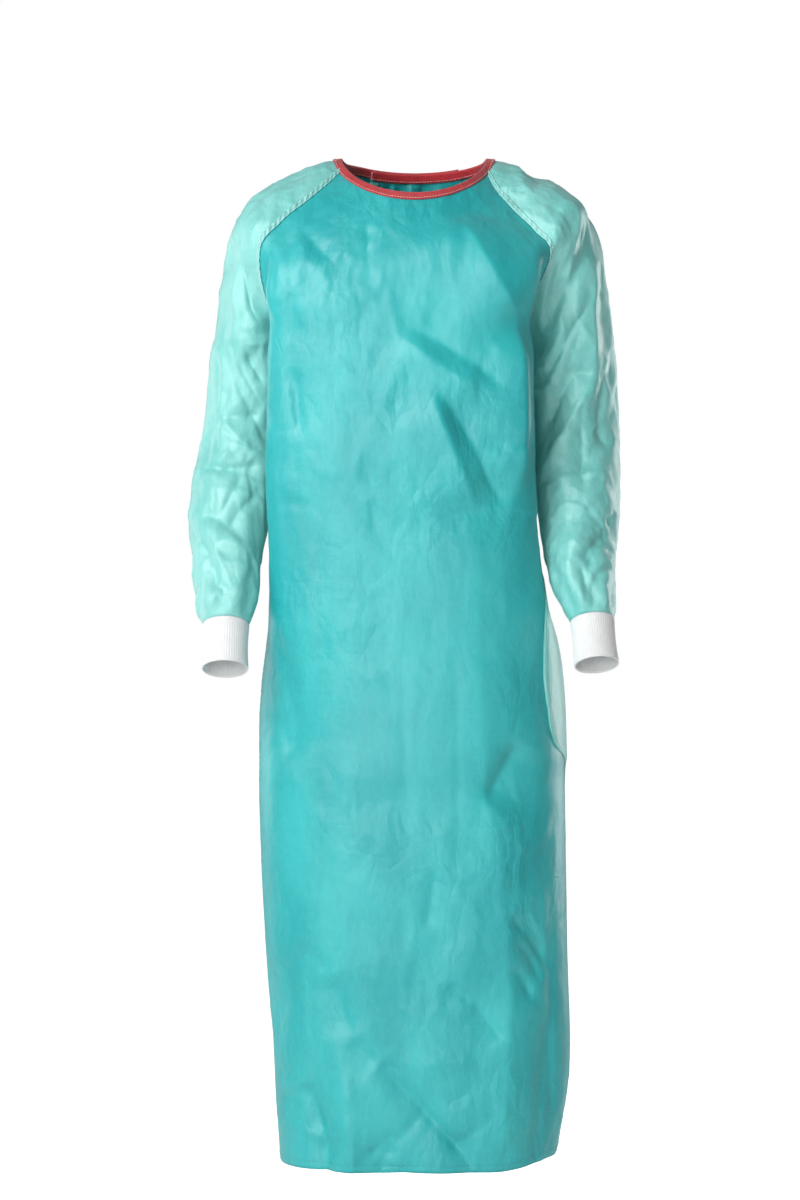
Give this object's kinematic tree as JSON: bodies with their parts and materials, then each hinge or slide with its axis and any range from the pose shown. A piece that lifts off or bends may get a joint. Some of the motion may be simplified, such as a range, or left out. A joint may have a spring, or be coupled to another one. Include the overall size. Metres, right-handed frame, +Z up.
{
  "type": "surgical gown",
  "caption": "Worn hollow surgical gown with a long front panel, raglan sleeves, knitted cuffs, a bound round neck and lapped back panels that wrap round one side.",
  "frame": {"origin": "middle of the neck opening, at the height of its two side points, where the gown rests on the shoulders", "axes": "+Z up along the body, -Y out of the front, +X to the wearer's left"},
  "size_m": [0.5495, 0.2935, 1.2745],
  "materials": {
    "front_panel": "teal woven cloth",
    "back_panel_outer": "mint woven cloth",
    "back_panel_under": "mint woven cloth",
    "sleeve_right": "mint laminated cloth with a soft sheen",
    "sleeve_left": "mint laminated cloth with a soft sheen",
    "cuff_right": "white ribbed knit",
    "cuff_left": "white ribbed knit",
    "neck_binding": "red woven tape with a row of stitching"
  },
  "bodies": {
    "root": {"front_panel": "front_panel", "back_panel_outer": "back_panel_outer", "back_panel_under": "back_panel_under", "sleeve_right": "sleeve_right", "sleeve_left": "sleeve_left", "cuff_right": "cuff_right", "cuff_left": "cuff_left", "neck_binding": "neck_binding"}
  },
  "joints": []
}
